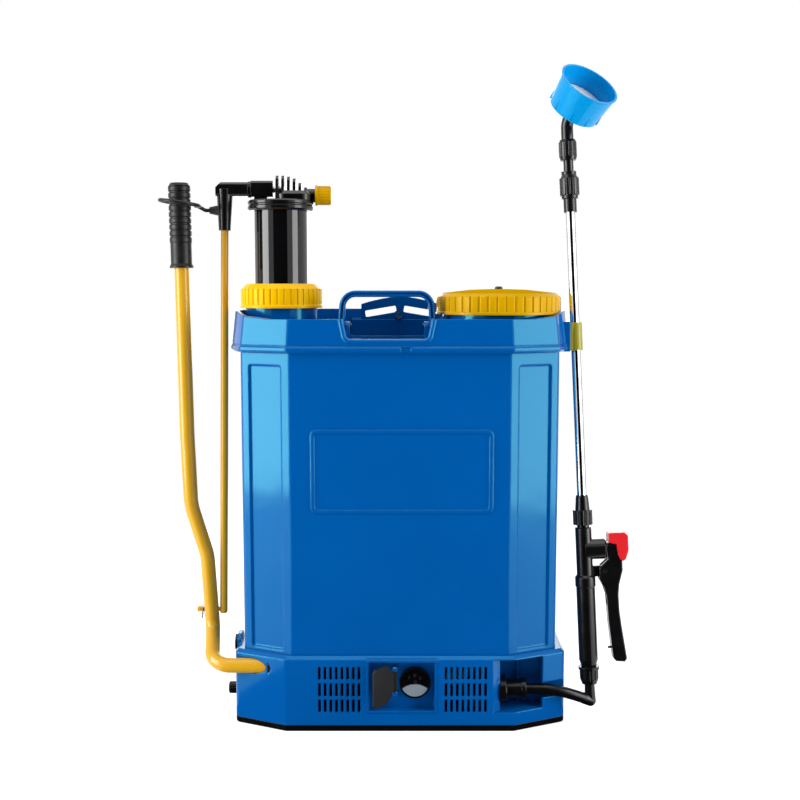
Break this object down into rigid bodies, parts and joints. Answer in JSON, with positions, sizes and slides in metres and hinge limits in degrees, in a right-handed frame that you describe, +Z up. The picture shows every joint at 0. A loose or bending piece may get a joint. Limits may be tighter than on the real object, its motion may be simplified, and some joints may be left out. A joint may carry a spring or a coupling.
{
  "type": "backpack sprayer",
  "caption": "Knapsack sprayer with a blue tank, lever pump, battery pump, screw lid, carry handle, hose and spray lance.",
  "frame": {"origin": "centre of the base's underside", "axes": "+Z up along the tank's height, -Y the tank's broad front with the charging window, +Y the wearer's side, +X to the right of someone who looks at the front"},
  "size_m": [0.5397, 0.2253, 0.7516],
  "materials": {
    "blue_shell": "glossy moulded polyethylene",
    "yellow_cap": "glossy moulded plastic",
    "black_plastic": "satin moulded plastic",
    "black_rubber": "matte rubber",
    "yellow_paint": "painted steel tube",
    "steel": "plain steel",
    "chrome": "polished plating",
    "red_plastic": "glossy moulded plastic",
    "cup_blue": "glossy moulded plastic",
    "white_plastic": "satin moulded plastic",
    "olive_plastic": "satin moulded plastic",
    "grey_plastic": "satin moulded plastic",
    "brass": "plain brass"
  },
  "bodies": {
    "root": {"base_plate": "black_plastic", "base_shell": "blue_shell", "tank_shell": "blue_shell", "tank_tray": "blue_shell", "tank_necks": "blue_shell", "tank_drain": "white_plastic", "hinge_pins": "steel", "strap_plate": "blue_shell", "fixing_screws": "steel", "strap_ring": "black_plastic", "filter_basket": "white_plastic", "pump_nut": "yellow_cap", "pump_gasket": "black_rubber", "pump_barrel": "white_plastic", "foot_valve": "black_plastic", "valve_ball": "steel", "lever_bush": "black_plastic", "outlet_fitting": "black_plastic", "outlet_nut": "black_plastic", "lock_nuts": "white_plastic", "delivery_hose": "black_rubber", "hose_tail": "black_plastic", "handle_bottom_nut": "black_plastic", "handle_body": "black_plastic", "lance_tube": "chrome", "lance_fittings": "black_plastic", "lance_clip": "olive_plastic", "charging_socket": "black_plastic", "socket_pins": "steel", "socket_key": "grey_plastic", "battery_pack": "grey_plastic", "electric_pump": "grey_plastic", "inner_hoses": "black_rubber", "speed_controller": "black_plastic"},
    "lid": {"lid": "yellow_cap", "lid_seal": "black_rubber", "vent_valve": "black_plastic"},
    "carry_handle": {"carry_handle": "blue_shell"},
    "lever": {"pump_lever": "yellow_paint", "lever_grip": "black_rubber", "lever_collar": "black_plastic"},
    "chamber": {"air_chamber": "black_plastic", "piston_cup": "black_rubber", "chamber_head": "black_plastic", "arm_bracket": "black_plastic", "chamber_fasteners": "steel"},
    "link": {"link_elbow": "black_plastic", "link_rod": "yellow_paint", "link_cotter": "steel", "grip_hook": "black_plastic"},
    "outlet_cap": {"outlet_cap": "yellow_cap"},
    "trigger": {"trigger_lever": "black_plastic"},
    "latch": {"trigger_latch": "red_plastic"},
    "valve_stem": {"valve_stem": "brass"},
    "nozzle": {"nozzle_neck": "black_plastic", "spray_cup": "cup_blue", "cup_disc": "white_plastic", "nozzle_tip": "brass"},
    "socket_flap": {"socket_flap": "black_rubber"},
    "switch_knob": {"switch_knob": "black_plastic"}
  },
  "joints": [
    {"name": "lid_lift", "type": "slide", "parent": "root", "child": "lid", "axis": [0, 0, 1], "range_m": [0, 0.06]},
    {"name": "carry_handle_fold", "type": "hinge", "parent": "root", "child": "carry_handle", "pos_m": [-0.015, -0.05, 0.457], "axis": [1, 0, 0], "range_deg": [0, 85]},
    {"name": "lever_swing", "type": "hinge", "parent": "root", "child": "lever", "pos_m": [-0.14, -0.08, 0.0705], "axis": [-1, 0, 0], "range_deg": [0, 45]},
    {"name": "chamber_slide", "type": "slide", "parent": "root", "child": "chamber", "axis": [0, 0, -1], "range_m": [0, 0.055]},
    {"name": "link_swing", "type": "hinge", "parent": "chamber", "child": "link", "pos_m": [-0.2039, -0.005, 0.615], "axis": [1, 0, 0], "range_deg": [0, 2.1]},
    {"name": "outlet_cap_pull", "type": "slide", "parent": "chamber", "child": "outlet_cap", "axis": [1, 0, 0], "range_m": [0, 0.025]},
    {"name": "trigger_squeeze", "type": "hinge", "parent": "root", "child": "trigger", "pos_m": [0.236, -0.06082, 0.17701], "axis": [0, 0.9972, -0.0754], "range_deg": [0, 7], "stiffness_Nm_per_rad": 4, "springref_deg": -11.46},
    {"name": "latch_slide", "type": "slide", "parent": "trigger", "child": "latch", "axis": [-0.0451, 0.0753, 0.9961], "range_m": [0, 0.005]},
    {"name": "valve_stem_pull", "type": "slide", "parent": "root", "child": "valve_stem", "axis": [0.999, 0.0034, 0.045], "range_m": [0, 0.0032]},
    {"name": "nozzle_swivel", "type": "hinge", "parent": "root", "child": "nozzle", "pos_m": [0.19115, -0.02355, 0.67], "axis": [-0.0451, 0.0753, 0.9961], "continuous": true},
    {"name": "socket_flap_turn", "type": "hinge", "parent": "root", "child": "socket_flap", "pos_m": [-0.0057, -0.0958, 0.05375], "axis": [0, 0, 1], "range_deg": [0, 128]},
    {"name": "switch_knob_turn", "type": "hinge", "parent": "root", "child": "switch_knob", "pos_m": [-0.19, -0.04, 0.0296], "axis": [-1, 0, 0], "range_deg": [0, 270]}
  ],
  "couplings": [
    {"joint": "chamber_slide", "follows": "lever_swing", "m_per_rad": 0.06972},
    {"joint": "link_swing", "follows": "lever_swing", "ratio": 0.04627},
    {"joint": "valve_stem_pull", "follows": "trigger_squeeze", "m_per_rad": 0.0251}
  ]
}
